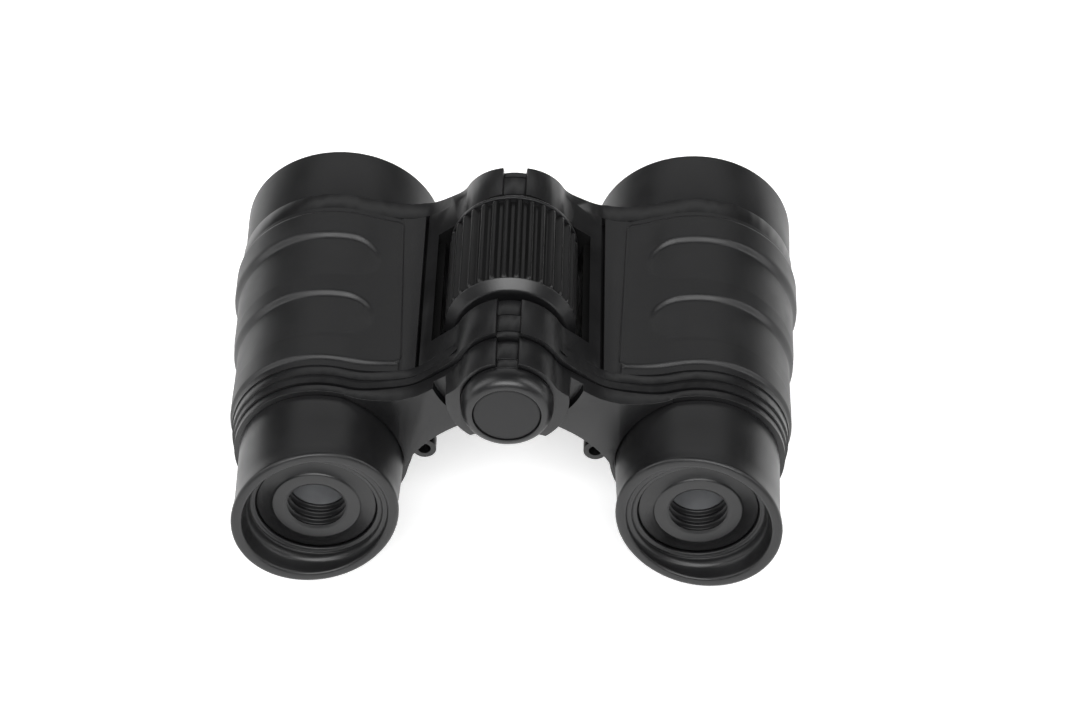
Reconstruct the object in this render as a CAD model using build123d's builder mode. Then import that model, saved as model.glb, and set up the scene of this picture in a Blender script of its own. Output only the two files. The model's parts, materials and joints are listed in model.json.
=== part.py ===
"""Compact folding binoculars: two barrels on a hinge, a focus wheel between them and sliding eyepieces.

Frame: +X to the right barrel, +Y towards the objectives, +Z up. The origin is on the table under the middle.
"""
from build123d import *
from math import cos, radians, sin
import os

os.makedirs("parts", exist_ok=True)

# ---- driving dimensions, millimetres -------------------------------------------------------------
eye_spacing = 63.0        # between the two optical axes
barrel_x = eye_spacing / 2
barrel_z = 18.2           # height of the optical axes
hinge_z = 35.7            # height of the hinge axis
sides = {"left": -1, "right": 1}

# stations along Y, from the eye end to the objective end
cup_rim = -36.05          # middle of the slanted eyecup rim
tube_end = -33.4
plate_rear = -22.6        # rear face of the eyepiece arms
cup_front = -21.0
arm_front = -19.5
body_rear = -19.2
rim_step = -17.6
grip_rear = -15.6
opening_rear = -11.0      # wheel opening in the bridge
opening_front = 16.0
hump_front = 23.0
grip_front = 22.4
band_front = 26.2
hood_front = 38.5

# bridge section, measured from the hinge axis
crown_radius = 9.2
knuckle_radius = 8.1
knuckle_clear = 8.4
crown_start, crown_end = 77, 26           # degrees round the hinge
skirt_angle = -60
flank = (11.1, 1.2)       # foot of the hump
shoulder_x, valley_x = 15.4, 20.0
meet_x = 27.0             # where the bridge runs into the barrel
arch = [(17.4, -18.4), (15.0, -14.3), (11.5, -10.9), (7.8, -8.5)]
barrel_root = (27.0, -15.5)
grip_thickness = 1.3
grip_edge_x = 15.0
opening_half_width = 13.1
guard_inner, guard_outer, guard_start = 12.1, 13.4, -10   # trough under the wheel

# barrel and grip
grip_front_radius, grip_rear_radius = 18.2, 16.05
grip_stations = [(grip_front_radius, grip_front), (18.1, 16.0), (17.0, 3.0), (16.15, -9.0),
                 (grip_rear_radius, grip_rear)]
grip_ends = (grip_front_radius, grip_rear_radius)
panel_rise = 0.5          # how far the grip's panel stands over its border and the bridge
belly_radius, belly_drop, belly_end = 13.0, 5.2, -9.0
rim_radius, rear_band_radius, band_radius = 15.0, 15.35, 17.6
guide_radius = 12.08      # bore that guides the eyepiece tube
tube_radius = 12.0
tube_bore = 10.9
lens_bore = 14.2
spigot_radius = 15.2

# hinge and focus mechanism
pin_radius = 3.0
run_clear = 0.06
screw_radius = 2.0
journal_radius = 2.5
flange_radius = 4.0
wheel_rear, wheel_front, wheel_hub_front = -9.2, 13.6, 15.0
wheel_radius = 11.0
ridge_count, ridge_width = 32, 1.0
wheel_core_radius, wheel_rim_radius = 9.4, 10.9
rear_rim, front_rim = 1.6, 0.8                            # widths of the core's two rims
rear_knuckles = [(-13.65, -10.2), (-17.65, -13.85), (-19.1, -17.85)]      # left, right, left
front_knuckles = [(opening_front, 17.0), (17.2, 21.6), (21.8, hump_front)]  # right, left, right
arm_knuckles = [(-23.6, arm_front), (-25.7, -23.8)]                        # left, right

# eyepiece arm
arm_crown, arm_barrel = 8.4, 14.7
arm_hub = 10.1            # outer reach of the hub behind the plate
groove_radius, groove_lift = 13.1, 4.0
sweep_start, sweep_end = 18.5, 28.0       # across which the plate thins down to the collar
lens_seat = -28.0         # shoulder that the eye lens sits on

# strap lug
lug_x, lug_y, lug_z = 14.4, -18.4, 17.4
lug_radius, lug_hole, lug_length = 2.0, 1.1, 2.4


# ---- helpers -------------------------------------------------------------------------------------
def section(y):
    """Cross-section plane at a station, seen from the eye end; extruding goes towards the eye end."""
    return Plane(origin=(0, y, 0), x_dir=(1, 0, 0), z_dir=(0, -1, 0))


def turned(outline, x, z):
    """Solid turned about a line along Y through (x, z); the outline is (radius, y) points."""
    with BuildPart() as blank:
        with BuildSketch(Plane(origin=(x, 0, z), x_dir=(1, 0, 0), z_dir=(0, 0, 1))):
            with BuildLine():
                Polyline(*outline, close=True)
            make_face()
        revolve(axis=Axis((x, 0, z), (0, 1, 0)))
    return blank.part


def ring(inner, outer, rear, front, x=0.0, z=hinge_z):
    """Plain ring or, with no inner radius, a disc, about a line along Y."""
    return turned([(inner, rear), (outer, rear), (outer, front), (inner, front)], x, z)


def on_hinge(side, radius, degrees):
    """Point of the bridge section at an angle round the hinge axis."""
    return (side * radius * cos(radians(degrees)), hinge_z + radius * sin(radians(degrees)))


def crest(barrel, crown):
    """Points of the sway beside the hump, down to where it runs into a barrel of the given radius."""
    thin = grip_front_radius - panel_rise - barrel
    meet = (barrel ** 2 - (barrel_x - meet_x) ** 2) ** 0.5 + barrel_z - hinge_z
    return [(flank[0], flank[1] - crown_radius + crown), (shoulder_x, -1.5 - 0.3 * thin),
            (valley_x, -1.95 - 0.55 * thin), (meet_x, meet)]


def bridge_face(side, barrel=rear_band_radius, crown=crown_radius, drop=0.0, lift=0.0):
    """One half of the bridge section: crown over the hinge, sway, barrel crest, and the arch below."""
    top = [(side * x, hinge_z + z - drop) for x, z in crest(barrel, crown)]
    under = [(side * x, hinge_z + z + lift) for x, z in arch]
    middle = (crown_start + crown_end) / 2
    leave = (side * sin(radians(crown_end)), -cos(radians(crown_end)))
    join = (side * (barrel ** 2 - (barrel_x - meet_x) ** 2) ** 0.5 / barrel, (barrel_x - meet_x) / barrel)
    with BuildSketch() as half:
        with BuildLine():
            Line((0, hinge_z), on_hinge(side, crown, crown_start))
            ThreePointArc(*[on_hinge(side, crown, a) for a in (crown_start, middle, crown_end)])
            Spline(on_hinge(side, crown, crown_end), *top, tangents=[leave, join])
            Polyline(top[-1], (side * barrel_root[0], hinge_z + barrel_root[1]), under[0])
            Spline(*under)
            Polyline(under[-1], on_hinge(side, crown, skirt_angle), (0, hinge_z))
        make_face()
    return half.sketch


def bridge(side, rear, front, barrels, near=0.0, **shape):
    """Half bridge lofted between two stations with their barrel radii, beyond a distance from the middle."""
    with BuildPart() as web:
        for y, barrel in zip((front, rear), barrels):
            profile = bridge_face(side, barrel, **shape)
            with BuildSketch(section(y)):
                add(profile)
                if near:
                    with Locations((side * (near + 30), hinge_z)):
                        Rectangle(60, 120, mode=Mode.INTERSECT)
        loft(ruled=True)
    return web.part


def wheel_guard(side):
    """One half of the trough that closes the gap beside and under the focus wheel."""
    angles = [guard_start, (guard_start + skirt_angle) / 2, skirt_angle]
    outside = [on_hinge(side, guard_outer, a) for a in angles]
    inside = [on_hinge(side, guard_inner, a) for a in angles]
    with BuildPart() as guard:
        with BuildSketch(section(opening_front)):
            with BuildLine():
                ThreePointArc(*outside)
                Line(outside[-1], inside[-1])
                ThreePointArc(*reversed(inside))
                Line(inside[0], outside[0])
            make_face()
        extrude(amount=opening_front - opening_rear)
    return guard.part


def hub(side, radius, spans, **shape):
    """The part of a half bridge that lies within a radius of the hinge, over the given spans."""
    profile = bridge_face(side, **shape)
    with BuildPart() as core:
        for rear, front in spans:
            with BuildSketch(section(front)):
                add(profile)
                with Locations((0, hinge_z)):
                    Circle(radius, mode=Mode.INTERSECT)
            extrude(amount=front - rear)
    return core.part


def lens_arc(radius, edge, middle):
    """Spherical lens surface from the axis out to the edge, as the points of an arc on (radius, y)."""
    sag = middle - edge
    sphere = (radius ** 2 + sag ** 2) / (2 * sag)
    half_radius = radius / 2
    half_sag = sphere * (1 - (1 - (half_radius / sphere) ** 2) ** 0.5)
    return [(0, middle), (half_radius, middle - half_sag), (radius, edge)]


def lens_solid(radius, back, front, x, z):
    """Round lens between a back and a front surface, each given as (edge y, middle y)."""
    near, far = lens_arc(radius, *back), lens_arc(radius, *front)
    with BuildPart() as lens:
        with BuildSketch(Plane(origin=(x, 0, z), x_dir=(1, 0, 0), z_dir=(0, 0, 1))):
            with BuildLine():
                ThreePointArc(*near)
                Line(near[-1], far[-1])
                ThreePointArc(*reversed(far))
                Line(far[0], near[0])
            make_face()
        revolve(axis=Axis((x, 0, z), (0, 1, 0)))
    return lens.part


def save(piece, name):
    """Label a finished piece and write it."""
    piece.label = name
    export_step(piece, f"parts/{name}.step")


# ---- barrels, grips and hoods --------------------------------------------------------------------
def belly(side, radius):
    """Fuller underside that the binoculars lie on, fading out towards the eye end."""
    with BuildPart() as under:
        with BuildSketch(section(grip_front)):
            with Locations((side * barrel_x, barrel_z - belly_drop)):
                Circle(radius)
        extrude(amount=grip_front - belly_end)
        with BuildSketch(section(belly_end)):
            with Locations((side * barrel_x, barrel_z - belly_drop)):
                Circle(radius)
        with BuildSketch(section(grip_rear)):
            with Locations((side * barrel_x, barrel_z - 2.0)):
                Circle(radius)
        loft()
    return under.part


def barrel_core(side):
    """Barrel tube: rear rim steps, seat for the grip, front band, and the stepped bore."""
    under_grip = [(r - grip_thickness, y) for r, y in reversed(grip_stations)]
    outline = [(0, body_rear), (rim_radius, body_rear), (rim_radius, rim_step), (rear_band_radius, rim_step)]
    outline += [(rear_band_radius, grip_rear)]
    outline += under_grip
    outline += [(band_radius, grip_front), (band_radius, band_front), (0, band_front)]
    return turned(outline, side * barrel_x, barrel_z)


def barrel_bore(side):
    """Everything cut out of the barrel along its axis."""
    past = 1.0
    outline = [(0, body_rear - past), (guide_radius, body_rear - past), (guide_radius, -6.0), (12.6, -6.0)]
    outline += [(12.6, 4.0), (lens_bore, 4.0), (lens_bore, 19.8), (spigot_radius, 19.8)]
    outline += [(spigot_radius, band_front + past), (0, band_front + past)]
    return turned(outline, side * barrel_x, barrel_z)


def front_trim(side):
    """Cutter that sweeps the front of the bridge back from the barrels to the hump."""
    reach = 16.0
    with BuildPart() as cutter:
        with BuildSketch(Plane.XY):
            with BuildLine():
                Spline((0, hump_front), (side * 5.0, hump_front + 0.5), (side * reach, band_front))
                Polyline((side * reach, band_front), (side * reach, 40), (-side * 12, 40),
                         (-side * 12, hump_front), (0, hump_front))
            make_face()
        extrude(amount=80)
    return cutter.part


def make_body(name, side):
    """Half body: barrel, bridge and its own knuckles, with room for the other half's knuckles."""
    own_rear = rear_knuckles[0::2] if side < 0 else rear_knuckles[1::2]
    own_front = front_knuckles[1::2] if side < 0 else front_knuckles[0::2]
    own = own_rear + own_front
    strip = (grip_front_radius - panel_rise, grip_rear_radius - panel_rise)
    middle = bridge(side, grip_rear, grip_front, strip)
    grip_seat = bridge(side, grip_rear, grip_front, grip_ends, near=grip_edge_x, drop=-1.0)
    webs = [
        bridge(side, body_rear, rim_step, (rim_radius, rim_radius)),
        bridge(side, rim_step, grip_rear, (rear_band_radius, rear_band_radius)),
        bridge(side, grip_rear, grip_front, grip_ends, near=10.0, drop=grip_thickness + 0.3),
        bridge(side, grip_front, band_front, (band_radius, band_radius)),
    ]
    core, under, trim = barrel_core(side), belly(side, belly_radius - grip_thickness), front_trim(side)
    rooms = [ring(0, knuckle_clear, body_rear - 1, opening_rear + 2)]
    rooms.append(ring(0, knuckle_clear, opening_front - 1, hump_front + 5))
    knuckles = [ring(0, knuckle_radius, rear, front) for rear, front in own]
    links, guard = hub(side, knuckle_clear + 0.3, own), wheel_guard(side)
    pin_bore = pin_radius if side < 0 else pin_radius + run_clear
    bore = ring(0, pin_bore, body_rear - 1, hump_front + 5)
    lug, lug_cut, barrel_cut = strap_lug(side), strap_lug_hole(side), barrel_bore(side)
    with BuildPart() as body:
        add(middle)
        add(grip_seat, mode=Mode.SUBTRACT)
        add(webs)
        add([core, under])
        add(trim, mode=Mode.SUBTRACT)
        with Locations((0, (opening_rear + opening_front) / 2, hinge_z)):
            Box(2 * opening_half_width, opening_front - opening_rear, 80, mode=Mode.SUBTRACT)
        add(rooms, mode=Mode.SUBTRACT)
        add([links, guard] + knuckles)
        add(bore, mode=Mode.SUBTRACT)
        add(lug)
        add([barrel_cut, lug_cut], mode=Mode.SUBTRACT)
    save(body.part, f"{name}_barrel_body")


def strap_lug(side):
    """Small moulded eye on the inner underside of a barrel, on a short stem."""
    with BuildPart() as lug:
        with BuildSketch(section(lug_y + lug_length)):
            with Locations((side * lug_x, lug_z)):
                Circle(lug_radius)
            with Locations((side * (lug_x + 2.6), lug_z + 0.6)):
                Rectangle(5.2, 3.6)
        extrude(amount=lug_length)
    return lug.part


def strap_lug_hole(side):
    """Hole for the strap cord."""
    with BuildPart() as hole:
        with BuildSketch(section(lug_y + lug_length + 1)):
            with Locations((side * lug_x, lug_z)):
                Circle(lug_hole)
        extrude(amount=lug_length + 2)
    return hole.part


def make_grip(name, side):
    """Rubber grip cover wrapped round the barrel and up to the wheel opening."""
    x, z = side * barrel_x, barrel_z
    outer = [(0, grip_rear)] + list(reversed(grip_stations)) + [(0, grip_front)]
    inner = [(0, grip_rear)] + [(r - grip_thickness, y) for r, y in reversed(grip_stations)]
    inner += [(0, grip_front)]
    wing = bridge(side, grip_rear, grip_front, grip_ends, near=grip_edge_x, lift=0.5)
    seat = bridge(side, grip_rear, grip_front, grip_ends, near=10.0, drop=grip_thickness + 0.3)
    filled = [turned(outer, x, z), wing, belly(side, belly_radius)]
    hollow = [turned(inner, x, z), seat, belly(side, belly_radius - grip_thickness)]
    with BuildPart() as grip:
        add(filled)
        add(hollow, mode=Mode.SUBTRACT)
    save(grip.part, f"{name}_grip_cover")


def make_objective(name, side):
    """Hood with its spigot, objective lens, retaining ring and the stop ring inside the barrel."""
    x, z = side * barrel_x, barrel_z
    hood_radius, hood_root, hood_bore, seat_bore, throat = 17.6, 17.3, 15.9, 15.05, 13.6
    retainer_bore, retainer_seat, retainer_front = 15.65, 30.2, 31.7
    outline = [(throat, 20.4), (spigot_radius - 0.02, 20.4), (spigot_radius - 0.02, band_front)]
    outline += [(hood_root, band_front), (hood_radius, hood_front), (hood_bore, hood_front)]
    outline += [(hood_bore, 32.0), (retainer_bore, 32.0), (retainer_bore, retainer_seat)]
    outline += [(seat_bore, retainer_seat), (seat_bore, 27.0), (throat, 27.0)]
    blank = turned(outline, x, z)
    with BuildPart() as hood:
        add(blank)
        front_edge = hood.edges().filter_by(GeomType.CIRCLE).group_by(Axis.Y)[-1]
        fillet(front_edge.sort_by(SortBy.RADIUS)[-1], radius=1.2)
        fillet(hood.edges().filter_by(GeomType.CIRCLE).group_by(Axis.Y)[-1], radius=0.4)
    save(hood.part, f"{name}_objective_hood")

    lens = lens_solid(15.0, (27.7, 27.1), (29.5, 30.8), x, z)
    save(lens, f"{name}_objective_lens")

    outline = [(14.0, 31.0), (14.0, 30.6), (14.4, retainer_seat), (retainer_bore - 0.05, retainer_seat)]
    outline += [(retainer_bore - 0.05, retainer_front), (14.9, retainer_front)]
    save(turned(outline, x, z), f"{name}_objective_retainer")

    stop = turned([(11.0, 4.0), (lens_bore - 0.02, 4.0), (lens_bore - 0.02, 5.4), (11.4, 5.4)], x, z)
    save(stop, f"{name}_light_stop")


# ---- eyepieces -----------------------------------------------------------------------------------
def plate_sweep(side):
    """Cutter that brings the arm's rear face forward to the collar beside the eyecup."""
    with BuildPart() as cutter:
        with BuildSketch(Plane.XY):
            with BuildLine():
                Polyline((side * sweep_start, plate_rear), (side * sweep_end, cup_front),
                         (side * 60, cup_front), (side * 60, plate_rear - 5),
                         (side * sweep_start, plate_rear - 5), close=True)
            make_face()
        extrude(amount=60)
    return cutter.part


def make_arm(name, side):
    """Eyepiece arm: hub knuckle on the focus screw, web, collar and the tube that slides in the barrel."""
    x, z = side * barrel_x, barrel_z
    hub_rear = arm_knuckles[1][0]
    own = arm_knuckles[0] if side < 0 else arm_knuckles[1]
    bore = arm_crown - 0.7
    shape = {"barrel": arm_barrel, "crown": arm_crown}
    plate = bridge(side, plate_rear, arm_front, (arm_barrel, arm_barrel), crown=arm_crown)
    skin = hub(side, arm_hub, [(hub_rear, plate_rear)], **shape)
    link = hub(side, bore + 0.2, [own], **shape)
    room = ring(0, bore, hub_rear - 1, arm_front + 1)
    groove = ring(0, groove_radius, plate_rear - 1, plate_rear + 1.6, 0, hinge_z + groove_lift)
    island = ring(0, arm_hub + 0.1, plate_rear - 2, plate_rear + 2)
    knuckle = ring(0, bore - 0.3, *own)
    collar = ring(0, arm_barrel, cup_front, arm_front, x, z)
    cup_seat = ring(0, 13.95, plate_rear - 1, cup_front, x, z)
    tube = ring(0, tube_radius, tube_end, -7.0, x, z)
    cuts = [ring(0, tube_bore, tube_end - 1, -6.0, x, z)]
    cuts.append(ring(0, journal_radius + run_clear, hub_rear - 1, arm_front + 1))
    if side < 0:
        cuts.append(ring(0, flange_radius + 0.1, arm_front - 1.0, arm_front + 1))
    with BuildPart() as moat:
        add(groove)
        add(island, mode=Mode.SUBTRACT)
    with BuildPart() as arm:
        add([plate, skin])
        add([room, moat.part, cup_seat, plate_sweep(side)], mode=Mode.SUBTRACT)
        add([link, knuckle, collar, tube])
        add(cuts, mode=Mode.SUBTRACT)
    save(arm.part, f"{name}_eyepiece_arm")


def make_eyecup(name, side):
    """Soft eyecup, higher on the temple side."""
    x, z = side * barrel_x, barrel_z
    inside, lip = tube_radius, 13.8
    outline = [(inside, cup_front), (13.8, cup_front), (13.4, -32.0), (lip, -40.0), (13.0, -40.0)]
    outline += [(12.4, -36.2), (11.6, -34.6), (10.0, -34.0)]
    outline += [(10.0, tube_end - 0.1), (inside, tube_end - 0.1)]
    slope_x, slope_z = 2.2 / lip, 1.1 / lip
    # the rim lies in a plane through the barrel axis at cup_rim, nearer the eye on the temple side
    rim_plane = Plane(origin=(x, cup_rim, z), z_dir=(side * slope_x, 1.0, -slope_z))
    blank = turned(outline, x, z)
    with BuildPart() as cup:
        add(blank)
        split(bisect_by=rim_plane, keep=Keep.TOP)
    save(cup.part, f"{name}_eyecup")


def make_eye_optics(name, side):
    """Ocular ring with its ribbed hole, the small eye lens and its snap ring."""
    x, z = side * barrel_x, barrel_z
    face, hole, rib_pitch, rib_depth = -33.2, 4.8, 1.6, 0.7
    outline = [(5.1, face), (7.3, face), (7.3, face + 0.2), (9.9, face + 0.6)]
    outline += [(tube_bore - 0.02, face + 0.6), (tube_bore - 0.02, -23.0)]
    outline += [(7.0, -23.0), (7.0, lens_seat), (hole, lens_seat)]
    for rib in range(3):
        y = lens_seat - 0.3 - rib * rib_pitch
        outline += [(hole, y - 0.2), (hole + rib_depth, y - 0.4)]
        outline += [(hole + rib_depth, y - 1.1), (hole, y - 1.3)]
    ocular = turned(outline, x, z)
    save(ocular, f"{name}_ocular_ring")

    radius, edge, dip = 6.95, 3.2, 0.8
    near, far = lens_seat + 0.05, lens_seat + 0.05 + edge
    lens = lens_solid(radius, (near, near + dip), (far, far - dip), x, z)
    save(lens, f"{name}_eye_lens")
    save(ring(5.6, radius, far + 0.02, -23.1, x, z), f"{name}_eye_lens_retainer")


# ---- hinge and focus mechanism -------------------------------------------------------------------
def make_hinge():
    """Rear hinge tube, front hinge pin with its slotted head, and the washers."""
    tube = ring(screw_radius + 0.1, pin_radius, body_rear + 0.1, -6.0)
    save(tube, "hinge_tube")
    head_rear, head_radius = hump_front + 0.62, 5.2
    shank, head = ring(0, pin_radius, 11.0, head_rear), ring(0, head_radius, head_rear, head_rear + 1.5)
    with BuildPart() as pin:
        add([shank, head])
        with Locations((0, head_rear + 1.5, hinge_z)):
            Box(2 * head_radius, 1.6, 1.2, mode=Mode.SUBTRACT)
    save(pin.part, "hinge_pin")
    spans = ((-10.15, -9.25), (15.05, 15.95), (23.05, 23.57))
    rings = [ring(pin_radius + 0.02, 6.0, rear, front) for rear, front in spans]
    with BuildPart() as washers:
        add(rings)
    save(washers.part, "hinge_washers")


def make_wheel():
    """Focus wheel: hard core with its two rims and threaded bore, and the ridged sleeve between the rims."""
    bore = screw_radius + 0.1
    seat = pin_radius + 0.08
    hub_radius, rim_chamfer = 6.0, 1.6
    sleeve_rear, sleeve_front = wheel_rear + rear_rim, wheel_front - front_rim
    outline = [(seat, wheel_rear), (wheel_rim_radius - rim_chamfer, wheel_rear)]
    outline += [(wheel_rim_radius, sleeve_rear), (wheel_core_radius, sleeve_rear)]
    outline += [(wheel_core_radius, sleeve_front)]
    outline += [(wheel_rim_radius, sleeve_front), (wheel_rim_radius, wheel_front), (hub_radius, wheel_front)]
    outline += [(hub_radius, wheel_hub_front), (seat, wheel_hub_front)]
    outline += [(seat, 10.6), (bore, 10.6), (bore, -5.8), (seat, -5.8)]
    save(turned(outline, 0, hinge_z), "focus_wheel_core")
    with BuildPart() as sleeve:
        with BuildSketch(section(sleeve_front)):
            with Locations((0, hinge_z)):
                Circle(wheel_radius - 0.7)
                with PolarLocations(wheel_radius - 0.6, ridge_count):
                    RectangleRounded(1.2, ridge_width, 0.3)
                Circle(wheel_core_radius, mode=Mode.SUBTRACT)
        extrude(amount=sleeve_front - sleeve_rear)
    save(sleeve.part, "focus_wheel_sleeve")


def make_focus_screw():
    """Focus screw that draws both eyepiece arms, with the domed cap, its disc and the cap screw."""
    cap_rear, cap_floor, journal_end, cap_front = -29.3, -28.0, -27.2, -26.0
    flange_rear = arm_front - 0.95
    outline = [(0, journal_end), (journal_radius, journal_end), (journal_radius, flange_rear)]
    outline += [(flange_radius, flange_rear), (flange_radius, arm_front), (screw_radius, arm_front)]
    outline += [(screw_radius, 8.4), (screw_radius - 0.6, 9.0), (0, 9.0)]
    blank, pilot = turned(outline, 0, hinge_z), ring(0, 1.0, -28.0, -22.0)
    with BuildPart() as screw:
        add(blank)
        add(pilot, mode=Mode.SUBTRACT)
    save(screw.part, "focus_screw")

    inset = 5.6
    outline = [(journal_radius + 0.02, cap_front), (7.6, cap_front), (7.6, -26.6)]
    outline += [(7.4, -27.6), (7.0, -28.4), (6.4, -29.0), (inset + 0.2, cap_rear)]
    outline += [(inset, cap_rear), (inset, cap_floor)]
    outline += [(1.05, cap_floor), (1.05, journal_end - 0.03), (journal_radius + 0.02, journal_end - 0.03)]
    save(turned(outline, 0, hinge_z), "end_cap")
    head = 0.5
    save(ring(0, inset - 0.03, cap_rear + 0.15, cap_floor - head - 0.05), "end_cap_disc")
    outline = [(0, cap_floor - head), (2.0, cap_floor - head), (2.0, cap_floor - 0.02)]
    outline += [(0.98, cap_floor - 0.02), (0.98, -22.5), (0, -22.5)]
    save(turned(outline, 0, hinge_z), "cap_screw")


for half, hand in sides.items():
    make_body(half, hand)
    make_grip(half, hand)
    make_objective(half, hand)
    make_arm(half, hand)
    make_eyecup(half, hand)
    make_eye_optics(half, hand)
make_hinge()
make_wheel()
make_focus_screw()
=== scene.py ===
"""Looks of the compact folding binoculars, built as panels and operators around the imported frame."""
import json
import math

import bmesh
import bpy
from mathutils import Matrix, Vector
from mathutils.bvhtree import BVHTree


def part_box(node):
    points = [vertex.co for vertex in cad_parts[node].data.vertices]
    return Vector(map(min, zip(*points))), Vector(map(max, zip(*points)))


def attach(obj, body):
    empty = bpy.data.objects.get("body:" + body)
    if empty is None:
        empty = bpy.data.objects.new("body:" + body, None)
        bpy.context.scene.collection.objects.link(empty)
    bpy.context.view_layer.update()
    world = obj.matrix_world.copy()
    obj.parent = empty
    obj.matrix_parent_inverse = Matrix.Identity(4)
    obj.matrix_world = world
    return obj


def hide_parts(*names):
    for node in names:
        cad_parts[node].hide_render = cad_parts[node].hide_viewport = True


bl_info = {
    "name": "Folding binoculars",
    "version": (1, 0, 0),
    "blender": (4, 5, 0),
    "location": "View3D > Sidebar > Binoculars",
    "description": "Builds the moulded, rubber and glass pieces of compact folding binoculars",
    "category": "Add Mesh",
}

MM = 0.001
SIDES = {"left": -1, "right": 1}

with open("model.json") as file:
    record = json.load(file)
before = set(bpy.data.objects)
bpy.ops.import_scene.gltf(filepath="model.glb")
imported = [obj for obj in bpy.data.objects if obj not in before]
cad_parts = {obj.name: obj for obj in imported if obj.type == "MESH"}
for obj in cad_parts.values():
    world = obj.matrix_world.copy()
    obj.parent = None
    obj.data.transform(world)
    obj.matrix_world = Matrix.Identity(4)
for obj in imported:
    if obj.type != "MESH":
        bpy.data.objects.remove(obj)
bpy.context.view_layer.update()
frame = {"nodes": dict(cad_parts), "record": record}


# ---- places taken from the frame -----------------------------------------------------------------
def middle(node):
    """Middle of a node's box."""
    low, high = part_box(node)
    return (low + high) / 2


def barrel_axis(side):
    """(x, z) of a barrel's optical axis, from its hood."""
    place = middle(f"{side}_objective_hood")
    return place.x, place.z


def hinge_axis():
    """(x, z) of the hinge, from the focus wheel."""
    place = middle("focus_wheel_core")
    return place.x, place.z


# ---- mesh helpers --------------------------------------------------------------------------------
def finish_mesh(bm, name, material, smooth=True):
    """Turn a bmesh into a piece with its normals outwards and one material."""
    bmesh.ops.remove_doubles(bm, verts=bm.verts, dist=0.004 * MM)
    bmesh.ops.recalc_face_normals(bm, faces=bm.faces)
    for face in bm.faces:
        face.smooth = smooth
    mesh = bpy.data.meshes.new(name)
    bm.to_mesh(mesh)
    bm.free()
    mesh.materials.append(material)
    piece = bpy.data.objects.new(name, mesh)
    bpy.context.scene.collection.objects.link(piece)
    return piece


def turned(name, outline, axis, material, steps=160):
    """Piece turned about a line along Y; the outline is closed, with (radius, y) points in mm."""
    x, z = axis
    bm = bmesh.new()
    ring = [bm.verts.new((x + radius * MM, y * MM, z)) for radius, y in outline]
    for start, end in zip(ring, ring[1:] + ring[:1]):
        bm.edges.new((start, end))
    bmesh.ops.spin(bm, geom=bm.verts[:] + bm.edges[:], cent=(x, 0, z), axis=(0, 1, 0), dvec=(0, 0, 0),
                   angle=2 * math.pi, steps=steps, use_merge=True, use_duplicate=False)
    return finish_mesh(bm, name, material)


def soften(piece, width, segments=3, angle=35):
    """Round a piece's edges with a live bevel and even shading."""
    bevel = piece.modifiers.new("edge radius", "BEVEL")
    bevel.width = width * MM
    bevel.segments = segments
    bevel.limit_method = "ANGLE"
    bevel.angle_limit = math.radians(angle)
    bevel.harden_normals = True
    return bevel


def rounded(outline, radius, steps=4):
    """The outline with each corner marked by a third number rounded to that share of the radius."""
    points = []
    count = len(outline)
    for i, corner in enumerate(outline):
        here = Vector(corner[:2])
        share = corner[2] if len(corner) > 2 else 0
        if not share:
            points.append(tuple(here))
            continue
        before = Vector(outline[i - 1][:2]) - here
        after = Vector(outline[(i + 1) % count][:2]) - here
        reach = min(share * radius, 0.48 * before.length, 0.48 * after.length)
        start, end = here + before.normalized() * reach, here + after.normalized() * reach
        for k in range(steps + 1):
            t = k / steps
            points.append(tuple(start * (1 - t) ** 2 + here * 2 * t * (1 - t) + end * t ** 2))
    return points


def blend_step(value, low, high):
    """Smooth 0 to 1 between two values."""
    t = min(max((value - low) / (high - low), 0.0), 1.0)
    return t * t * (3 - 2 * t)


# ---- material helpers ----------------------------------------------------------------------------
def linear(colour):
    """Linear colour from an sRGB hex value."""
    parts = [int(colour[i:i + 2], 16) / 255 for i in (1, 3, 5)]
    return tuple(c / 12.92 if c <= 0.04045 else ((c + 0.055) / 1.055) ** 2.4 for c in parts) + (1.0,)


def put(tree, kind, links=(), values=(), **settings):
    """Add a node with its settings, socket values and (socket, source) links."""
    made = tree.nodes.new(kind)
    for name, value in settings.items():
        setattr(made, name, value)
    for socket, value in values:
        made.inputs[socket].default_value = value
    for socket, source in links:
        tree.links.new(source, made.inputs[socket])
    return made


def new_material(name):
    """Empty material with its Principled shader and Object coordinates."""
    material = bpy.data.materials.new(name)
    material.use_nodes = True
    tree = material.node_tree
    shader = tree.nodes["Principled BSDF"]
    place = tree.nodes.new("ShaderNodeTexCoord").outputs["Object"]
    return material, tree, shader, place


def ramp(tree, source, low, high, out_low, out_high):
    """Map Range node from a source."""
    return put(tree, "ShaderNodeMapRange", links=[(0, source)],
               values=[(1, low), (2, high), (3, out_low), (4, out_high)]).outputs[0]


def grain(tree, place, size, detail=2.0):
    """Noise whose bumps are the given size in millimetres."""
    return put(tree, "ShaderNodeTexNoise", links=[("Vector", place)],
               values=[("Scale", 1 / (size * MM)), ("Detail", detail), ("Roughness", 0.5)]).outputs[0]


def colour_mix(tree, factor, first, second):
    """Colour between two hex values."""
    mix = put(tree, "ShaderNodeMix", links=[("Factor", factor)], data_type="RGBA")
    mix.inputs["A"].default_value = linear(first)
    mix.inputs["B"].default_value = linear(second)
    return mix.outputs["Result"]


def bump(tree, shader, height, strength, depth):
    """Bump of a real depth in millimetres on the shader."""
    made = put(tree, "ShaderNodeBump", links=[("Height", height)],
               values=[("Strength", strength), ("Distance", depth * MM)])
    tree.links.new(made.outputs[0], shader.inputs["Normal"])


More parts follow.
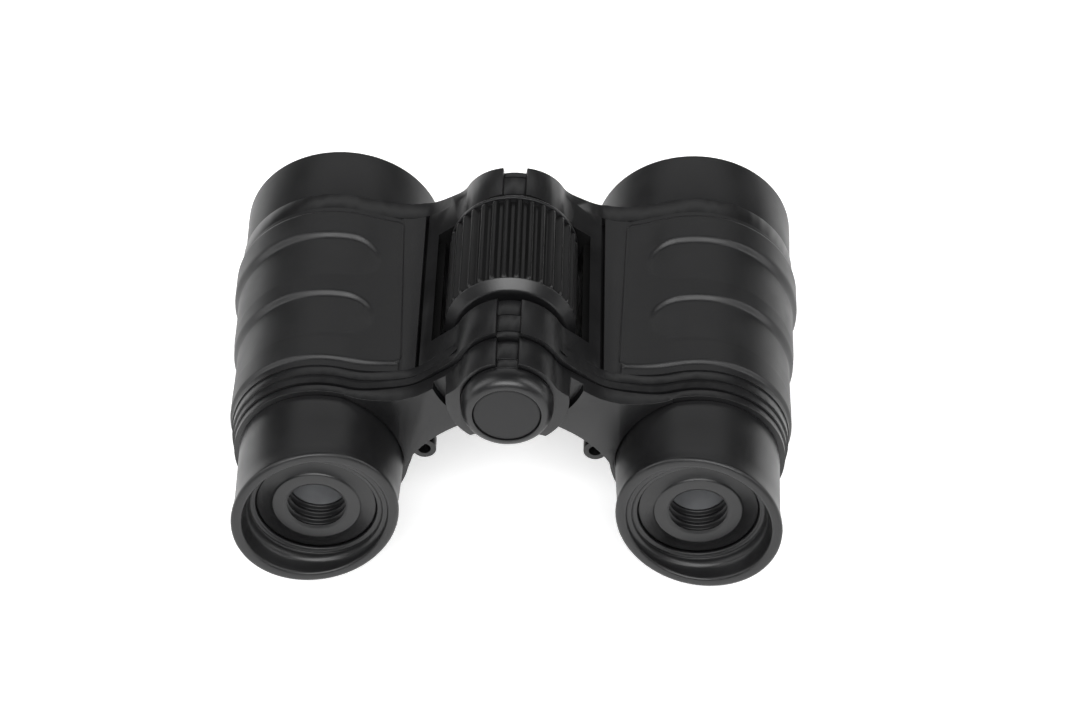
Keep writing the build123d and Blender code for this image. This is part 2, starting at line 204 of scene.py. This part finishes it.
def moulded(name, dark, light, rough_low, rough_high, grit, depth, patch=7.0, specular=0.5):
    """Moulded black plastic or rubber: spark-eroded grain, faint handling patches, and uneven gloss."""
    material, tree, shader, place = new_material(name)
    fine = grain(tree, place, grit)
    patches = grain(tree, place, patch, 3.0)
    shade = colour_mix(tree, ramp(tree, patches, 0.3, 0.7, 0, 1), dark, light)
    tree.links.new(shade, shader.inputs["Base Color"])
    tree.links.new(ramp(tree, patches, 0.3, 0.7, rough_low, rough_high), shader.inputs["Roughness"])
    shader.inputs["Specular IOR Level"].default_value = specular
    bump(tree, shader, fine, 0.5, depth)
    return material


def body_abs():
    """ABS, injection moulded in a finely spark-eroded tool: a satin black with soft, wide highlights."""
    return moulded("moulded_black_abs", "#0c0c0d", "#131314", 0.34, 0.42, 0.35, 0.012)


def grip_rubber():
    """Thermoplastic rubber, moulded matt: a deeper grain and a broad, weak sheen."""
    return moulded("moulded_grip_rubber", "#0f0f10", "#161617", 0.42, 0.52, 0.30, 0.02)


def eyecup_rubber():
    """Soft rubber, moulded smooth: weak, even sheen that brightens round the lip."""
    return moulded("smooth_eyecup_rubber", "#0e0e0f", "#151516", 0.36, 0.44, 0.4, 0.008)


def hood_abs():
    """ABS with a fine mould texture, a little duller than the body."""
    return moulded("moulded_hood_abs", "#0f0f10", "#161617", 0.40, 0.48, 0.3, 0.015)


def gloss_abs():
    """ABS from a finer tool: clearer highlights on the cap's dome and the wheel's rims."""
    return moulded("polished_black_abs", "#101011", "#161617", 0.33, 0.40, 0.6, 0.006)


def wheel_abs_with_painted_shade():
    """ABS of the ridged sleeve, moulded nearly matt; its base colour is darker than the body's as painted
    shade, so that the valleys between the ridges stay dark.
    """
    # painted shade: the sleeve's darker base colour keeps the valleys between the ridges dark
    return moulded("wheel_abs_painted_shade", "#060606", "#0b0b0c", 0.38, 0.46, 0.35, 0.012, specular=0.38)


def disc_abs():
    """ABS with a fine even etch on the flat disc, greyer than the dome round it."""
    return moulded("etched_disc_abs", "#131314", "#19191a", 0.48, 0.54, 0.22, 0.01, specular=0.35)


def matt_black_and_shade():
    """Matt black inner paint that keeps stray light down; in the wheel opening and the trough under it the
    same darker, duller finish is painted shade.
    """
    return moulded("matt_inner_black_and_painted_shade", "#080808", "#0c0c0c", 0.62, 0.76, 0.3, 0.01, specular=0.2)


def bare_metal(name, colour, roughness, groove):
    """Turned metal with fine tool rings along the hinge axis."""
    material, tree, shader, place = new_material(name)
    apart = put(tree, "ShaderNodeSeparateXYZ", links=[(0, place)])
    turns = put(tree, "ShaderNodeMath", links=[(0, apart.outputs[1])], values=[(1, 6.2832 / (groove * MM))],
                operation="MULTIPLY")
    wave = put(tree, "ShaderNodeMath", links=[(0, turns.outputs[0])], operation="SINE")
    shader.inputs["Base Color"].default_value = linear(colour)
    shader.inputs["Metallic"].default_value = 1.0
    tree.links.new(ramp(tree, grain(tree, place, 0.8), 0.3, 0.7, roughness - 0.05, roughness + 0.08),
                   shader.inputs["Roughness"])
    bump(tree, shader, wave.outputs[0], 0.3, 0.006)
    return material


def zinc_steel():
    """Zinc-plated steel, turned: cool grey with tool rings."""
    return bare_metal("zinc_plated_steel", "#9a9ca0", 0.32, 0.3)


def turned_brass():
    """Turned brass of the focus screw."""
    return bare_metal("turned_brass", "#b08d4c", 0.3, 0.5)


def lens_glass(name, tint, centre, clear=1.0):
    """Crown glass with a thin coating and a faint coloured reflection: clear, or only partly clear, with an
    opaque grey share that is painted light for the view coming through the barrel.
    """
    material, tree, shader, place = new_material(name)
    tree.links.new(colour_mix(tree, ramp(tree, grain(tree, place, 4.0), 0.4, 0.6, 0, 1), tint, centre),
                   shader.inputs["Base Color"])
    shader.inputs["Roughness"].default_value = 0.04
    shader.inputs["IOR"].default_value = 1.52
    shader.inputs["Transmission Weight"].default_value = clear
    shader.inputs["Coat Weight"].default_value = 0.4
    shader.inputs["Coat Tint"].default_value = linear("#c4cbd6")
    return material


materials = {}


def finish_of(name):
    """A finish by name, made once."""
    makers = {"body": body_abs, "grip": grip_rubber, "eyecup": eyecup_rubber, "hood": hood_abs,
              "gloss": gloss_abs, "disc": disc_abs, "sleeve": wheel_abs_with_painted_shade, "matt": matt_black_and_shade,
              "steel": zinc_steel, "brass": turned_brass,
              "objective": lambda: lens_glass("coated_objective_glass", "#dfe6f0", "#e8edf5"),
              # painted light: the eye lens is only partly clear, and its opaque grey share stands in for the
              # view coming through the barrel
              "eye_lens": lambda: lens_glass("eye_glass_painted_through_light", "#929292", "#9c9c9c", 0.35)}
    if name not in materials:
        materials[name] = makers[name]()
    return materials[name]


def body_of_node(node):
    """Name of the body that a node belongs to."""
    for name, nodes in frame["record"]["behaviour"]["bodies"].items():
        if node in nodes:
            return name
    raise RuntimeError(f"{node} is in no body")


def stand_in(piece, node):
    """The piece takes a node's place and body, and the node is hidden."""
    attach(piece, body_of_node(node))
    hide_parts(node)


def paint(node, finish):
    """Give a node that stays its finish."""
    data = frame["nodes"][node].data
    data.materials.clear()
    data.materials.append(finish_of(finish))


# ---- grips ---------------------------------------------------------------------------------------
BRIDGE_EDGE = 15.0        # where the grips meet the bridge, mm from the middle
PANEL_FLARE = 0.04        # how much the panel's inner edge leans out towards the far end
PANEL_FILLET = 0.5        # width of the panel's inner fillet, mm
GROOVE_LINES = (15.6, 1.8)                # where each finger groove's step stands along Y, mm
HOOK_ANGLE, HOOK_WIDTH, HOOK_LENGTH = math.radians(61.5), 5.6, 5.0      # rounded inner end of a groove


class GripSettings(bpy.types.PropertyGroup):
    """Sizes of the moulded grips."""
    border_drop: bpy.props.FloatProperty(name="Border drop", description="Height of the raised panel, mm",
                                         default=0.5, min=0.1, max=1.0)
    border_width: bpy.props.FloatProperty(name="Border width", description="Flat strip beside the panel, mm",
                                          default=3.2, min=1.0, max=6.0)
    groove_depth: bpy.props.FloatProperty(name="Groove depth", description="Depth of the finger grooves, mm",
                                          default=0.75, min=0.1, max=1.0)
    seam: bpy.props.FloatProperty(name="Seam", description="Gap between a grip and the bridge, mm",
                                  default=0.3, min=0.0, max=0.6)


def corner_reach(across, along, radius):
    """Distance inside a right-angled outline whose corner is rounded."""
    if across < radius and along < radius:
        return radius - math.hypot(radius - across, radius - along)
    return min(across, along)


def groove_depth(settings, y, angle, radius, line):
    """Depth of a finger groove: a step facing the eye end, a slow rise, and an end that turns rearwards."""
    outwards = (angle - HOOK_ANGLE) * radius          # from the inner wall of the hook
    behind = line - y
    if behind <= 0 or outwards <= 0:
        return 0.0
    across, along = HOOK_WIDTH - outwards, HOOK_LENGTH - behind
    if across > 0 and along > 0:
        share = math.hypot(across / HOOK_WIDTH, along / HOOK_LENGTH)
        reach = math.hypot(across, along) * (1 / share - 1)
    else:
        reach = behind if across <= 0 else outwards
    if reach <= 0:
        return 0.0
    near = max(0.0, 1 - outwards / 5.5)
    run = 6.0 + 3.6 * math.sqrt(1 - near * near) + 0.06 * outwards
    width = 0.7 + 0.25 * blend_step(outwards, 1.0, 6.0) + 1.4 * blend_step(angle, 1.9, 2.7)
    return settings.groove_depth * blend_step(reach, 0.0, width) * max(0.0, 1 - behind / run)


def panel_edge(settings, y):
    """Distance of the panel's inner edge from the middle at a station."""
    return BRIDGE_EDGE + settings.border_width + PANEL_FLARE * y


def grip_height(settings, x, y, angle, radius, low_y, high_y):
    """How far the grip lies under the frame's surface, in mm; x is the distance from the middle."""
    inner = (x - panel_edge(settings, y)) * 1.6
    rear = corner_reach(inner, y - low_y - 1.3, 2.4)
    front = corner_reach(inner, high_y - y - 0.9, 1.6)
    under = (math.radians(322) - angle) * radius
    panel = blend_step(min(rear, front, under), 0.0, 0.8)
    sunk = settings.border_drop * (1 - panel)
    fade = 1 - blend_step(angle, math.radians(205), math.radians(245))
    for line in GROOVE_LINES:
        sunk += groove_depth(settings, y, angle, radius, line) * fade * panel
    return sunk


class BINOCULARS_OT_grips(bpy.types.Operator):
    """Mould the two rubber grips with their panels and finger grooves"""
    bl_idname = "binoculars.grips"
    bl_label = "Grips"

    def execute(self, context):
        for side, hand in SIDES.items():
            self.make(context, side, hand)
        return {"FINISHED"}

    def make(self, context, side, hand):
        """One grip, measured off the frame's plain cover with rays from the barrel axis."""
        settings = context.scene.binocular_grips
        node = f"{side}_grip_cover"
        tree = BVHTree.FromObject(frame["nodes"][node], context.evaluated_depsgraph_get())
        low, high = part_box(node)
        x, z = barrel_axis(side)
        last, bend = math.radians(354), math.radians(150)
        rows, columns = 170, 230

        def surface(angle, y):
            way = Vector((-hand * math.cos(angle), 0, math.sin(angle)))
            inside = min(max(y, low.y + 0.02 * MM), high.y - 0.02 * MM)
            start = Vector((x, inside, z))
            hit = tree.ray_cast(start + way * 40 * MM, -way, 30 * MM)[0]
            return (hit - start).length if hit else None

        def angle_at(reach, y):
            below, above = math.radians(30), math.radians(80)
            for _ in range(14):
                angle = (below + above) / 2
                if abs(x) - (surface(angle, y) or 0.0) * math.cos(angle) > reach * MM:
                    above = angle
                else:
                    below = angle
            return above

        bm = bmesh.new()
        bmesh.ops.create_grid(bm, x_segments=columns, y_segments=rows, size=0.5)
        lines = {}
        for vert in bm.verts:
            lines.setdefault(round(vert.co.y, 6), []).append(vert)
        stations = [low.y + (row + 0.5) * (high.y - low.y) for row in sorted(lines)]
        knots = []
        for reach in (lambda y: BRIDGE_EDGE + settings.seam, lambda y: panel_edge(settings, y),
                      lambda y: panel_edge(settings, y) + PANEL_FILLET):
            knots.append(even_out([angle_at(reach(y / MM), y) for y in stations], 10))
        for y, row, seam, edge, crest in zip(stations, sorted(lines), *knots):
            verts = sorted(lines[row], key=lambda v: v.co.x)
            spread = [(0.0, seam), (0.06, edge), (0.10, crest), (0.62, bend), (1.0, last)]
            angles = [between(spread, vert.co.x + 0.5) for vert in verts]
            radii = even_out(fill_gaps([surface(angle, y) for angle in angles]), 16)
            for vert, angle, radius in zip(verts, angles, radii):
                out = abs(x) - radius * math.cos(angle)
                sunk = grip_height(settings, out / MM, y / MM, angle, radius / MM, low.y / MM, high.y / MM)
                radius -= sunk * MM
                vert.co = Vector((x - hand * math.cos(angle) * radius, y, z + math.sin(angle) * radius))
        bmesh.ops.recalc_face_normals(bm, faces=bm.faces)
        bm.faces.ensure_lookup_table()
        probe = bm.faces[len(bm.faces) // 2]
        outward = probe.calc_center_median() - Vector((x, probe.calc_center_median().y, z))
        if probe.normal.dot(outward) < 0:
            bmesh.ops.reverse_faces(bm, faces=bm.faces)
        for face in bm.faces:
            face.smooth = True
        mesh = bpy.data.meshes.new(f"{side}_grip")
        bm.to_mesh(mesh)
        bm.free()
        mesh.materials.append(finish_of("grip"))
        piece = bpy.data.objects.new(f"{side}_grip", mesh)
        context.scene.collection.objects.link(piece)
        wall = piece.modifiers.new("thickness", "SOLIDIFY")
        wall.thickness = 0.55 * MM
        wall.offset = -1
        soften(piece, 0.16, 2, 50)
        stand_in(piece, node)


def between(table, value):
    """Value read off a table of (position, value) pairs."""
    for (start, first), (end, second) in zip(table, table[1:]):
        if value <= end:
            return first + (second - first) * (value - start) / (end - start)
    return table[-1][1]


def fill_gaps(row):
    """Fill each missed ray with the last known radius."""
    known = next(radius for radius in row if radius)
    filled = []
    for radius in row:
        known = radius or known
        filled.append(known)
    return filled


def even_out(row, rounds):
    """Average radii along a row a few times, so that the frame's flat facets read as a curve."""
    for _ in range(rounds):
        row = [row[0]] + [(a + 2 * b + c) / 4 for a, b, c in zip(row, row[1:], row[2:])] + [row[-1]]
    return row


# ---- barrels and arms ----------------------------------------------------------------------------
def paint_bore_and_opening_shade(mesh, axis):
    """Give the barrel's bore its matt black inner paint, and the walls of the wheel opening and the trough
    under it the same darker, duller finish as painted shade.
    """
    low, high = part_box("focus_wheel_core")
    half_width, rear, front = 13.15 * MM, low.y - 1.85 * MM, high.y + 1.05 * MM
    for face in mesh.polygons:
        place = face.center
        in_bore = math.hypot(place.x - axis[0], place.z - axis[1]) < 14.9 * MM and abs(face.normal.y) < 0.5
        # painted shade: faces in the wheel opening and the trough under it take the darker matt finish
        if in_bore or (abs(place.x) < half_width and rear < place.y < front):
            face.material_index = 1


class BINOCULARS_OT_castings(bpy.types.Operator):
    """Round the moulded edges of the barrel bodies and the eyepiece arms"""
    bl_idname = "binoculars.castings"
    bl_label = "Bodies and arms"

    def execute(self, context):
        for side in SIDES:
            for part in ("barrel_body", "eyepiece_arm"):
                self.make(context, f"{side}_{part}")
        return {"FINISHED"}

    def make(self, context, node):
        """A merged copy of the node with small edge radii."""
        bm = bmesh.new()
        bm.from_mesh(frame["nodes"][node].data)
        bmesh.ops.remove_doubles(bm, verts=bm.verts, dist=0.002 * MM)
        bmesh.ops.dissolve_limit(bm, angle_limit=math.radians(1.0), verts=bm.verts, edges=bm.edges)
        for face in bm.faces:
            face.smooth = True
        mesh = bpy.data.meshes.new(node + "_moulded")
        bm.to_mesh(mesh)
        bm.free()
        mesh.materials.append(finish_of("body"))
        if node.endswith("barrel_body"):
            # second finish: matt black paint in the bore, painted shade in the wheel opening and trough
            mesh.materials.append(finish_of("matt"))
            paint_bore_and_opening_shade(mesh, barrel_axis(node.split("_")[0]))
        piece = bpy.data.objects.new(node + "_moulded", mesh)
        context.scene.collection.objects.link(piece)
        soften(piece, 0.28, 3, 28)
        stand_in(piece, node)


# ---- turned pieces -------------------------------------------------------------------------------
class BINOCULARS_OT_hoods(bpy.types.Operator):
    """Turn the objective hoods and their lenses, and give the retaining rings and light stops the matt finish
    """
    bl_idname = "binoculars.hoods"
    bl_label = "Objective hoods"

    def execute(self, context):
        for side in SIDES:
            axis = barrel_axis(side)
            low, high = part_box(f"{side}_objective_hood")
            front, radius = high.y / MM, (high.x - low.x) / 2 / MM
            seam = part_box(f"{side}_barrel_body")[1].y / MM
            spigot = low.y / MM
            outline = [(13.6, spigot), (15.18, spigot), (15.18, seam + 0.05)]
            outline += [(radius - 0.42, seam + 0.05, 0.2), (radius - 0.3, seam + 0.5), (radius, front - 2.5)]
            outline += [(radius, front, 1.0), (15.9, front, 0.4), (15.9, 32.0, 0.2), (15.65, 32.0, 0.1)]
            outline += [(15.65, 30.2), (15.05, 30.2), (15.05, 27.0), (13.6, 27.0)]
            piece = turned(f"{side}_hood", rounded(outline, 1.6, 8), axis, finish_of("hood"))
            stand_in(piece, f"{side}_objective_hood")
            self.lens(side, axis)
            paint(f"{side}_objective_retainer", "matt")
            paint(f"{side}_light_stop", "matt")
        return {"FINISHED"}

    def lens(self, side, axis):
        """Objective lens with its ground edge."""
        node = f"{side}_objective_lens"
        low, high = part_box(node)
        radius = (high.x - low.x) / 2 / MM
        back, front = low.y / MM, high.y / MM
        edge_back, edge_front = back + 0.6, front - 1.3
        steps = 14
        outline = [(radius * k / steps, front - 1.3 * (k / steps) ** 2) for k in range(steps)]
        outline += [(radius, edge_front), (radius, edge_back)]
        outline += [(radius * k / steps, back + 0.6 * (k / steps) ** 2) for k in range(steps - 1, -1, -1)]
        piece = turned(f"{side}_objective", outline, axis, finish_of("objective"), 96)
        stand_in(piece, node)


class EyecupSettings(bpy.types.PropertyGroup):
    """Sizes of the soft eyecups."""
    lip: bpy.props.FloatProperty(name="Lip", description="Roundness of the lip, mm",
                                 default=0.95, min=0.2, max=1.2)
    wing: bpy.props.FloatProperty(name="Wing", description="How far the temple side stands out, mm",
                                  default=2.2, min=0.0, max=4.0)
    top: bpy.props.FloatProperty(name="Top", description="How far the lower edge stands out, mm",
                                 default=1.1, min=0.0, max=3.0)


class BINOCULARS_OT_eyecups(bpy.types.Operator):
    """Turn the eyecups and slant their lips, and turn the ocular rings and eye lenses"""
    bl_idname = "binoculars.eyecups"
    bl_label = "Eyecups"

    def execute(self, context):
        for side, hand in SIDES.items():
            self.cup(context.scene.binocular_eyecups, side, hand)
            self.ocular(side)
            self.lens(side)
            paint(f"{side}_eye_lens_retainer", "matt")
        return {"FINISHED"}

    def cup(self, settings, side, hand):
        """One eyecup: turned with a level lip, then sheared so that the lip lies in a slanted plane."""
        node = f"{side}_eyecup"
        x, z = barrel_axis(side)
        front, rim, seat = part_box(node)[1].y / MM, -36.05, -33.5
        inside, lip = 12.05, 13.8
        outline = [(inside, front), (13.8, front, 0.3), (13.62, -26.5), (13.42, -32.0), (13.5, -34.2),
                   (lip, rim - 0.1, 1.0), (11.9, rim - 0.1, 1.0), (11.75, -35.0), (11.5, -34.4, 0.4),
                   (11.1, -34.15), (10.95, seat - 0.25), (10.9, seat + 0.32), (10.05, seat + 0.3, 0.3),
                   (10.05, seat + 0.9), (inside, seat + 0.9)]
        piece = turned(f"{side}_cup", rounded(outline, settings.lip, 6), (x, z), finish_of("eyecup"), 180)
        for vert in piece.data.vertices:
            out = (vert.co.x - x) * hand / (lip * MM)
            up = (vert.co.z - z) / (lip * MM)
            share = blend_step(-vert.co.y / MM, -(seat + 0.4), -rim)
            side_share = blend_step(-vert.co.y / MM, 26.0, -rim)
            outer = math.hypot(vert.co.x - x, vert.co.z - z) / MM > 13.0
            amount = side_share if outer else share
            vert.co.y -= amount * (settings.wing * out - settings.top * up) * MM
        stand_in(piece, node)

    def ocular(self, side):
        """Stepped ocular ring with the ribs in its hole."""
        node = f"{side}_ocular_ring"
        low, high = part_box(node)
        rear, front, outer = low.y / MM, high.y / MM, (high.x - low.x) / 2 / MM
        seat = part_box(f"{side}_eye_lens")[0].y / MM - 0.05
        outline = [(4.85, rear + 0.25, 0.6), (5.35, rear, 0.5), (7.25, rear, 0.6), (7.5, rear + 0.35)]
        outline += [(9.85, rear + 0.6, 0.5), (10.05, rear + 0.85), (outer, rear + 0.85), (outer, front)]
        outline += [(7.0, front), (7.0, seat), (4.8, seat)]
        for rib in range(3):
            y = seat - 0.3 - rib * 1.6
            outline += [(4.8, y - 0.1, 0.5), (5.5, y - 0.35, 0.3), (5.5, y - 1.15, 0.3), (4.8, y - 1.4, 0.5)]
        piece = turned(f"{side}_ocular", rounded(outline, 0.35, 3), barrel_axis(side), finish_of("eyecup"))
        stand_in(piece, node)

    def lens(self, side):
        """Small hollow eye lens."""
        node = f"{side}_eye_lens"
        low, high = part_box(node)
        rear, front, outer = low.y / MM, high.y / MM, (high.x - low.x) / 2 / MM
        steps, dip = 12, 0.8
        outline = [(outer * k / steps, rear + dip * (1 - (k / steps) ** 2)) for k in range(steps + 1)]
        outline += [(outer * k / steps, front - dip * (1 - (k / steps) ** 2)) for k in range(steps, -1, -1)]
        piece = turned(f"{side}_eye_glass", outline, barrel_axis(side), finish_of("eye_lens"), 96)
        stand_in(piece, node)


# ---- wheel, cap and screws -----------------------------------------------------------------------
class WheelSettings(bpy.types.PropertyGroup):
    """Sizes of the focus wheel."""
    ridges: bpy.props.IntProperty(name="Ridges", description="Ridges round the wheel",
                                  default=32, min=12, max=80)
    depth: bpy.props.FloatProperty(name="Ridge depth", description="Depth between ridges, mm",
                                   default=1.0, min=0.2, max=1.2)


class BINOCULARS_OT_wheel(bpy.types.Operator):
    """Build the ribbed sleeve and the smooth core of the focus wheel"""
    bl_idname = "binoculars.wheel"
    bl_label = "Focus wheel"

    def execute(self, context):
        self.sleeve(context.scene.binocular_wheel)
        self.core()
        return {"FINISHED"}

    def sleeve(self, settings):
        """Sleeve whose ridges have round tops and rounded ends."""
        node = "focus_wheel_sleeve"
        low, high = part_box(node)
        x, z = hinge_axis()
        outer = (high.x - low.x) / 2 / MM
        rear, front, inner = low.y / MM + 0.02, high.y / MM - 0.02, 9.42
        per_ridge = 10
        bm = bmesh.new()
        count = settings.ridges * per_ridge
        bmesh.ops.create_circle(bm, cap_ends=False, radius=1.0, segments=count)
        turn = Matrix.Rotation(math.radians(90), 4, "X")
        bmesh.ops.transform(bm, matrix=turn, verts=bm.verts)
        loop = bm.edges[:]
        rings = [(inner, front - 0.1, 0), (outer - 0.9, front, 0), (outer - 0.35, front - 0.1, 0.55),
                 (outer - 0.08, front - 0.35, 0.9), (outer, front - 0.8, 1), (outer, rear + 1.1, 1),
                 (outer - 0.12, rear + 0.6, 0.9), (outer - 0.45, rear + 0.2, 0.5), (outer - 0.95, rear, 0),
                 (inner, rear + 0.05, 0)]
        layers = [bm.verts[:]]
        for _ in rings[1:]:
            made = bmesh.ops.extrude_edge_only(bm, edges=loop)["geom"]
            layers.append([g for g in made if isinstance(g, bmesh.types.BMVert)])
            loop = [g for g in made if isinstance(g, bmesh.types.BMEdge)
                    and all(v in set(layers[-1]) for v in g.verts)]
        for layer, (radius, y, share) in zip(layers, rings):
            for vert in layer:
                angle = math.atan2(vert.co.z, vert.co.x)
                phase = (angle / (2 * math.pi) * settings.ridges) % 1.0
                valley = blend_step(abs(phase - 0.5), 0.14, 0.34)
                deep = min(settings.depth * share, radius - inner) * valley
                out = (radius - deep) * MM
                vert.co = Vector((x + out * math.cos(angle), y * MM, z + out * math.sin(angle)))
        bmesh.ops.bridge_loops(bm, edges=[e for e in bm.edges if len(e.link_faces) == 1])
        piece = finish_mesh(bm, "wheel_sleeve", finish_of("sleeve"))
        stand_in(piece, node)

    def core(self):
        """Smooth core, whose two rims stand out beyond the ends of the sleeve."""
        node = "focus_wheel_core"
        low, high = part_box(node)
        rear, front, rim = low.y / MM, high.y / MM, (high.x - low.x) / 2 / MM
        sleeve_low, sleeve_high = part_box("focus_wheel_sleeve")
        back, ahead = sleeve_low.y / MM, sleeve_high.y / MM
        shoulder = front - 1.4
        outline = [(3.08, rear), (9.3, rear, 0.5), (rim, back - 0.15, 0.5), (rim, back, 0.1), (9.4, back)]
        outline += [(9.4, ahead), (rim, ahead, 0.3), (rim, shoulder, 0.9), (6.0, shoulder), (6.0, front, 0.3)]
        outline += [(3.08, front), (3.08, 10.6), (2.1, 10.6), (2.1, -5.8), (3.08, -5.8)]
        piece = turned("wheel_core", rounded(outline, 0.6, 6), hinge_axis(), finish_of("gloss"))
        stand_in(piece, node)


class BINOCULARS_OT_cap(bpy.types.Operator):
    """Turn the domed end cap and its disc, and finish the screws and washers"""
    bl_idname = "binoculars.cap"
    bl_label = "End cap and fixings"

    def execute(self, context):
        low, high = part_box("end_cap")
        rear, front, radius = low.y / MM, high.y / MM, (high.x - low.x) / 2 / MM
        spring, drop, steps = front - 0.7, 1.75, 8
        outline = [(2.52, front), (radius, front, 0.3), (radius, spring)]
        for k in range(1, steps + 1):
            turn = math.pi / 2 * k / steps
            outline.append((radius - drop * (1 - math.cos(turn)), spring - (spring - rear) * math.sin(turn)))
        outline += [(5.62, rear, 0.3), (5.6, rear + 1.3), (1.05, rear + 1.3), (1.05, rear + 2.07)]
        outline += [(2.52, rear + 2.07)]
        piece = turned("cap_dome", rounded(outline, 0.4, 4), hinge_axis(), finish_of("gloss"))
        stand_in(piece, "end_cap")
        low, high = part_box("end_cap_disc")
        rear, front, radius = low.y / MM, high.y / MM, (high.x - low.x) / 2 / MM
        outline = [(0, rear), (radius - 0.3, rear, 0.6), (radius, rear + 0.25), (radius, front), (0, front)]
        piece = turned("cap_disc", rounded(outline, 0.3, 4), hinge_axis(), finish_of("disc"))
        stand_in(piece, "end_cap_disc")
        for node, finish in {"cap_screw": "steel", "hinge_pin": "steel", "hinge_tube": "steel",
                             "hinge_washers": "matt", "focus_screw": "brass"}.items():
            paint(node, finish)
        return {"FINISHED"}


# ---- stage ---------------------------------------------------------------------------------------
class StageSettings(bpy.types.PropertyGroup):
    """Camera and light."""
    distance: bpy.props.FloatProperty(name="Distance", description="Camera to the aim point", default=0.5211,
                                      unit="LENGTH")
    elevation: bpy.props.FloatProperty(name="Elevation", description="Camera above the horizon",
                                       default=math.radians(42.758), unit="ROTATION")
    azimuth: bpy.props.FloatProperty(name="Azimuth", description="Camera turn from straight behind",
                                     default=math.radians(1.44), unit="ROTATION")
    roll: bpy.props.FloatProperty(name="Roll", description="Camera roll", default=math.radians(-0.22),
                                  unit="ROTATION")
    lens: bpy.props.FloatProperty(name="Lens", description="Focal length, mm", default=100.63)
    aim: bpy.props.FloatVectorProperty(name="Aim", description="Point on the camera's axis",
                                       default=(0.004664, 0.001129, 0.020), unit="LENGTH")
    floor_colour: bpy.props.StringProperty(name="Floor", description="Floor colour, hex", default="#f4f4f4")


class BINOCULARS_OT_stage(bpy.types.Operator):
    """Set up the pale floor, the soft studio lights and the camera"""
    bl_idname = "binoculars.stage"
    bl_label = "Stage"

    def execute(self, context):
        settings = context.scene.binocular_stage
        self.floor(settings)
        self.lights(context)
        self.camera(context, settings)
        return {"FINISHED"}

    def floor(self, settings):
        """Plain pale floor, lit a little from within."""
        bm = bmesh.new()
        bmesh.ops.create_grid(bm, x_segments=1, y_segments=1, size=3.0)
        material, _, shader, _ = new_material("pale_floor")
        shader.inputs["Base Color"].default_value = linear(settings.floor_colour)
        shader.inputs["Roughness"].default_value = 0.9
        shader.inputs["Emission Color"].default_value = linear(settings.floor_colour)
        shader.inputs["Emission Strength"].default_value = 0.65
        floor = finish_mesh(bm, "floor", material, smooth=False)
        if floor.data.polygons[0].normal.z < 0:
            floor.data.flip_normals()

    def lights(self, context):
        """Softboxes over the eye end, at both sides and over the far end, in a dim surround."""
        context.scene.view_settings.view_transform = "Standard"
        world = bpy.data.worlds.new("studio")
        world.use_nodes = True
        world.node_tree.nodes["Background"].inputs[0].default_value = linear("#ffffff")
        world.node_tree.nodes["Background"].inputs[1].default_value = 0.05
        context.scene.world = world
        for name, place, width, height, power in (
            ("near_softbox", (0.0, -0.66, 0.74), 0.9, 0.42, 9.5),
            ("left_softbox", (-0.75, -0.05, 0.55), 0.35, 0.9, 3.6),
            ("right_softbox", (0.75, -0.05, 0.55), 0.35, 0.9, 3.6),
            ("far_softbox", (0.0, 0.85, 0.75), 1.2, 0.35, 1.6),
        ):
            data = bpy.data.lights.new(name, "AREA")
            data.shape = "RECTANGLE"
            data.size = width
            data.size_y = height
            data.energy = power
            lamp = bpy.data.objects.new(name, data)
            lamp.location = place
            lamp.rotation_euler = (Vector((0, 0, 0.02)) - lamp.location).to_track_quat("-Z", "Y").to_euler()
            context.scene.collection.objects.link(lamp)

    def camera(self, context, settings):
        """Camera aimed along the viewing direction."""
        data = bpy.data.cameras.new("camera")
        data.lens = settings.lens
        data.sensor_width = 36.0
        camera = bpy.data.objects.new("camera", data)
        level, turn = math.cos(settings.elevation), settings.azimuth
        forward = Vector((-math.sin(turn) * level, math.cos(turn) * level, -math.sin(settings.elevation)))
        camera.location = Vector(settings.aim) - forward * settings.distance
        camera.rotation_mode = "QUATERNION"
        rolled = Matrix.Rotation(settings.roll, 4, "Z").to_quaternion()
        camera.rotation_quaternion = forward.to_track_quat("-Z", "Y") @ rolled
        data.clip_start = 0.01
        context.scene.collection.objects.link(camera)
        context.scene.camera = camera


class BINOCULARS_PT_panel(bpy.types.Panel):
    """Panel of the binoculars' operators"""
    bl_idname = "BINOCULARS_PT_panel"
    bl_label = "Binoculars"
    bl_space_type = "VIEW_3D"
    bl_region_type = "UI"
    bl_category = "Binoculars"

    def draw(self, context):
        for operator in OPERATORS:
            self.layout.operator(operator.bl_idname)


OPERATORS = (BINOCULARS_OT_grips, BINOCULARS_OT_castings, BINOCULARS_OT_hoods, BINOCULARS_OT_eyecups,
             BINOCULARS_OT_wheel, BINOCULARS_OT_cap, BINOCULARS_OT_stage)
SETTINGS = {"binocular_grips": GripSettings, "binocular_eyecups": EyecupSettings,
            "binocular_wheel": WheelSettings, "binocular_stage": StageSettings}
CLASSES = tuple(SETTINGS.values()) + OPERATORS + (BINOCULARS_PT_panel,)


def register():
    """Register the classes and hang the settings on the scene."""
    for entry in CLASSES:
        bpy.utils.register_class(entry)
    for name, group in SETTINGS.items():
        setattr(bpy.types.Scene, name, bpy.props.PointerProperty(type=group))


def unregister():
    """Take the settings and classes away again."""
    for name in SETTINGS:
        delattr(bpy.types.Scene, name)
    for entry in reversed(CLASSES):
        bpy.utils.unregister_class(entry)


def main():
    """Build everything."""
    register()
    bpy.ops.binoculars.grips()
    bpy.ops.binoculars.castings()
    bpy.ops.binoculars.hoods()
    bpy.ops.binoculars.eyecups()
    bpy.ops.binoculars.wheel()
    bpy.ops.binoculars.cap()
    bpy.ops.binoculars.stage()
    bpy.context.view_layer.update()


if __name__ == "__main__":
    main()
